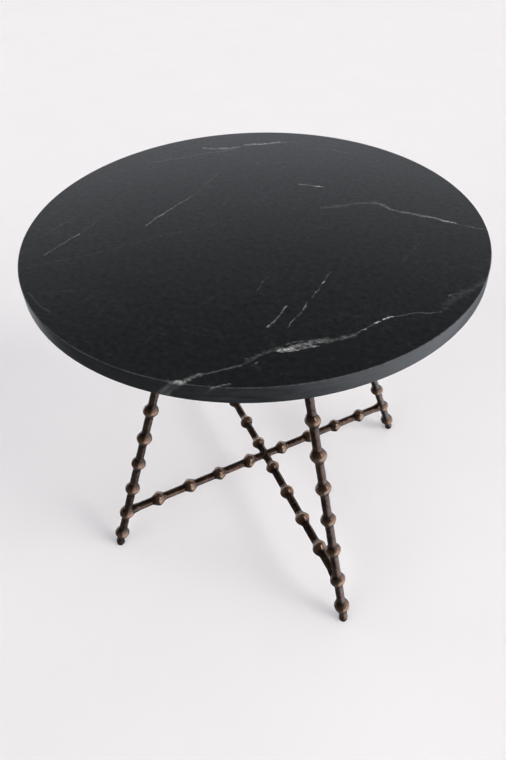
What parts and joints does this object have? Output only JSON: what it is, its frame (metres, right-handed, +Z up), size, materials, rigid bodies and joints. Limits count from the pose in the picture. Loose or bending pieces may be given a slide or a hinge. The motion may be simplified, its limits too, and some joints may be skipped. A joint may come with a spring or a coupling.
{
  "type": "round table",
  "caption": "Round black stone top on splayed, beaded cast-bronze legs, tied low down by crossed beaded stretchers and stood on screw-adjusted levelling glides.",
  "frame": {"origin": "on the floor under the centre of the top, with the glides screwed right in", "axes": "+Z up through the centre of the top; the legs stand on the diagonals between X and Y, and -Y is the front"},
  "size_m": [0.7999, 0.8, 0.75],
  "materials": {
    "black_stone": "honed black stone with fine white veins",
    "bronze": "cast bronze, dark brown patina rubbed back on the beads, waxed",
    "coated_steel": "black powder coat, satin",
    "steel": "bright zinc plated",
    "brass": "turned",
    "rubber": "matt",
    "nylon": "moulded, satin"
  },
  "bodies": {
    "table": {"stone_top": "black_stone", "stone_inserts": "brass", "top_screws": "steel", "top_washers": "steel", "cushion_pads": "rubber", "mounting_plate": "coated_steel", "flange_screws": "steel", "through_stretcher": "bronze", "crossing_dowel": "steel", "stretcher_dowels": "steel", "half_stretcher_front_right": "bronze", "half_stretcher_back_left": "bronze", "leg_back_right": "bronze", "leg_flange_back_right": "bronze", "leg_back_left": "bronze", "leg_flange_back_left": "bronze", "leg_front_left": "bronze", "leg_flange_front_left": "bronze", "leg_front_right": "bronze", "leg_flange_front_right": "bronze"},
    "glide_pad_back_right": {"glide_pad_back_right": "nylon"},
    "glide_stem_back_right": {"glide_stem_back_right": "steel"},
    "glide_pad_back_left": {"glide_pad_back_left": "nylon"},
    "glide_stem_back_left": {"glide_stem_back_left": "steel"},
    "glide_pad_front_left": {"glide_pad_front_left": "nylon"},
    "glide_stem_front_left": {"glide_stem_front_left": "steel"},
    "glide_pad_front_right": {"glide_pad_front_right": "nylon"},
    "glide_stem_front_right": {"glide_stem_front_right": "steel"}
  },
  "joints": [
    {"name": "glide_lift_back_right", "type": "slide", "parent": "table", "child": "glide_pad_back_right", "axis": [0, 0, -1], "range_m": [0, 0.008]},
    {"name": "glide_turn_back_right", "type": "hinge", "parent": "glide_pad_back_right", "child": "glide_stem_back_right", "pos_m": [0.25949, 0.25949, 0.02], "axis": [0, 0, -1], "range_deg": [0, 2304]},
    {"name": "glide_lift_back_left", "type": "slide", "parent": "table", "child": "glide_pad_back_left", "axis": [0, 0, -1], "range_m": [0, 0.008]},
    {"name": "glide_turn_back_left", "type": "hinge", "parent": "glide_pad_back_left", "child": "glide_stem_back_left", "pos_m": [-0.25949, 0.25949, 0.02], "axis": [0, 0, -1], "range_deg": [0, 2304]},
    {"name": "glide_lift_front_left", "type": "slide", "parent": "table", "child": "glide_pad_front_left", "axis": [0, 0, -1], "range_m": [0, 0.008]},
    {"name": "glide_turn_front_left", "type": "hinge", "parent": "glide_pad_front_left", "child": "glide_stem_front_left", "pos_m": [-0.25949, -0.25949, 0.02], "axis": [0, 0, -1], "range_deg": [0, 2304]},
    {"name": "glide_lift_front_right", "type": "slide", "parent": "table", "child": "glide_pad_front_right", "axis": [0, 0, -1], "range_m": [0, 0.008]},
    {"name": "glide_turn_front_right", "type": "hinge", "parent": "glide_pad_front_right", "child": "glide_stem_front_right", "pos_m": [0.25949, -0.25949, 0.02], "axis": [0, 0, -1], "range_deg": [0, 2304]}
  ],
  "couplings": [
    {"joint": "glide_lift_back_right", "follows": "glide_turn_back_right", "m_per_rad": 0.00019894},
    {"joint": "glide_lift_back_left", "follows": "glide_turn_back_left", "m_per_rad": 0.00019894},
    {"joint": "glide_lift_front_left", "follows": "glide_turn_front_left", "m_per_rad": 0.00019894},
    {"joint": "glide_lift_front_right", "follows": "glide_turn_front_right", "m_per_rad": 0.00019894}
  ]
}
